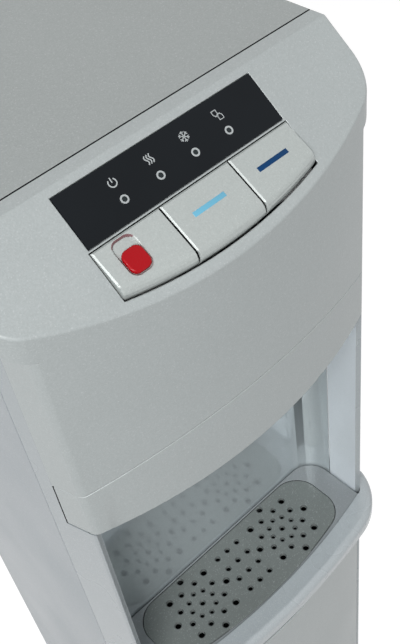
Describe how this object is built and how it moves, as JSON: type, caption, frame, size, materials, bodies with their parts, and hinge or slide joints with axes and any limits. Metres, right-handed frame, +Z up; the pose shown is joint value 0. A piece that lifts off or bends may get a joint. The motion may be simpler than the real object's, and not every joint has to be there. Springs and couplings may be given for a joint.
{
  "type": "water cooler",
  "caption": "Floor-standing water cooler with a sloping control panel, push buttons, a dispensing niche, a pull-out drip tray and a bottle cabinet behind a bowed door.",
  "frame": {"origin": "centre of the footprint on the floor, under the middle of the whole cooler", "axes": "+Z up, front faces -Y, +X to the right of someone standing in front of it"},
  "size_m": [0.32, 0.31, 1.06],
  "materials": {
    "silver_lid": "satin metallic",
    "silver_panel": "satin metallic",
    "silver_frame": "gloss metallic",
    "silver_button": "satin metallic",
    "red_plastic": "gloss",
    "green_plastic": "gloss",
    "display_black": "gloss",
    "niche_grey": "gloss",
    "grille_grey": "satin",
    "side_metal": "satin",
    "zinc_sheet": "satin",
    "steel": "brushed",
    "black_rubber": "matte",
    "black_metal": "satin",
    "copper": "satin",
    "foam": "matte",
    "black_plastic": "matte",
    "board_green": "satin",
    "white_plastic": "satin"
  },
  "bodies": {
    "cabinet": {"back_panel": "zinc_sheet", "base_pan": "zinc_sheet", "bay_bulkhead": "zinc_sheet", "bottle_platform": "white_plastic", "button_carrier": "white_plastic", "button_pivot_rod": "steel", "cold_tank": "steel", "cold_tank_foam": "foam", "cold_tank_foam_lid": "foam", "compressor": "black_metal", "compressor_grommets": "black_rubber", "compressor_terminal_cover": "black_plastic", "condenser": "black_metal", "condenser_brackets": "black_plastic", "condenser_wires": "black_metal", "control_box": "black_plastic", "control_fascia": "silver_panel", "cord_gland": "black_rubber", "discharge_pipe": "copper", "display_board": "board_green", "display_window": "display_black", "door_catch": "black_plastic", "door_pins": "steel", "drain_spigot": "white_plastic", "feet": "black_rubber", "filter_drier": "copper", "front_frame": "silver_frame", "hot_tank": "steel", "hot_tank_stand": "zinc_sheet", "hot_tank_thermostats": "black_plastic", "niche_liner": "niche_grey", "nozzle_cold": "white_plastic", "nozzle_hot": "white_plastic", "nozzle_room": "white_plastic", "nozzle_visor": "silver_panel", "side_panel_left": "side_metal", "side_panel_right": "side_metal", "suction_pipe": "copper", "switch_bezel": "black_plastic", "tank_shelf": "zinc_sheet", "top_lid": "silver_lid", "valve_cold": "white_plastic", "valve_hot": "white_plastic", "valve_room": "white_plastic", "water_pump": "black_plastic"},
    "button_hot": {"button_hot": "silver_button"},
    "button_room": {"button_room": "silver_button"},
    "button_cold": {"button_cold": "silver_button"},
    "child_lock": {"child_lock_slider": "red_plastic"},
    "plunger_hot": {"plunger_hot": "white_plastic"},
    "plunger_room": {"plunger_room": "white_plastic"},
    "plunger_cold": {"plunger_cold": "white_plastic"},
    "door": {"cabinet_door": "silver_panel"},
    "tray": {"drip_tray": "silver_frame"},
    "grille": {"drip_grille": "grille_grey"},
    "rocker_hot": {"rocker_hot": "red_plastic"},
    "rocker_cold": {"rocker_cold": "green_plastic"},
    "drain_cap": {"drain_cap": "white_plastic"}
  },
  "joints": [
    {"name": "button_hot_press", "type": "hinge", "parent": "cabinet", "child": "button_hot", "pos_m": [0, -0.0998, 1.02224], "axis": [1, 0, 0], "range_deg": [0, 5], "stiffness_Nm_per_rad": 0.8},
    {"name": "plunger_hot_stroke", "type": "slide", "parent": "cabinet", "child": "plunger_hot", "axis": [0, 0.6247, -0.7809], "range_m": [0, 0.00181]},
    {"name": "button_room_press", "type": "hinge", "parent": "cabinet", "child": "button_room", "pos_m": [0, -0.0998, 1.02224], "axis": [1, 0, 0], "range_deg": [0, 5], "stiffness_Nm_per_rad": 0.8},
    {"name": "plunger_room_stroke", "type": "slide", "parent": "cabinet", "child": "plunger_room", "axis": [0, 0.6247, -0.7809], "range_m": [0, 0.00181]},
    {"name": "button_cold_press", "type": "hinge", "parent": "cabinet", "child": "button_cold", "pos_m": [0, -0.0998, 1.02224], "axis": [1, 0, 0], "range_deg": [0, 5], "stiffness_Nm_per_rad": 0.8},
    {"name": "plunger_cold_stroke", "type": "slide", "parent": "cabinet", "child": "plunger_cold", "axis": [0, 0.6247, -0.7809], "range_m": [0, 0.00181]},
    {"name": "child_lock_slide", "type": "slide", "parent": "button_hot", "child": "child_lock", "axis": [0, 0.8621, 0.5067], "range_m": [0, 0.007]},
    {"name": "door_swing", "type": "hinge", "parent": "cabinet", "child": "door", "pos_m": [0.129, -0.11368, 0.28], "axis": [0, 0, 1], "range_deg": [0, 95]},
    {"name": "tray_pull", "type": "slide", "parent": "cabinet", "child": "tray", "axis": [0, -1, 0], "range_m": [0, 0.1]},
    {"name": "grille_lift", "type": "slide", "parent": "tray", "child": "grille", "axis": [0, 0, 1], "range_m": [0, 0.03]},
    {"name": "rocker_hot_tip", "type": "hinge", "parent": "cabinet", "child": "rocker_hot", "pos_m": [0.093, 0.133, 0.5882], "axis": [1, 0, 0], "range_deg": [0, 16]},
    {"name": "rocker_cold_tip", "type": "hinge", "parent": "cabinet", "child": "rocker_cold", "pos_m": [0.111, 0.133, 0.5882], "axis": [1, 0, 0], "range_deg": [0, 16]},
    {"name": "drain_cap_pull", "type": "slide", "parent": "cabinet", "child": "drain_cap", "axis": [0, 1, 0], "range_m": [0, 0.03]}
  ],
  "couplings": [
    {"joint": "plunger_hot_stroke", "follows": "button_hot_press", "m_per_rad": 0.0208},
    {"joint": "plunger_room_stroke", "follows": "button_room_press", "m_per_rad": 0.0208},
    {"joint": "plunger_cold_stroke", "follows": "button_cold_press", "m_per_rad": 0.0208}
  ]
}
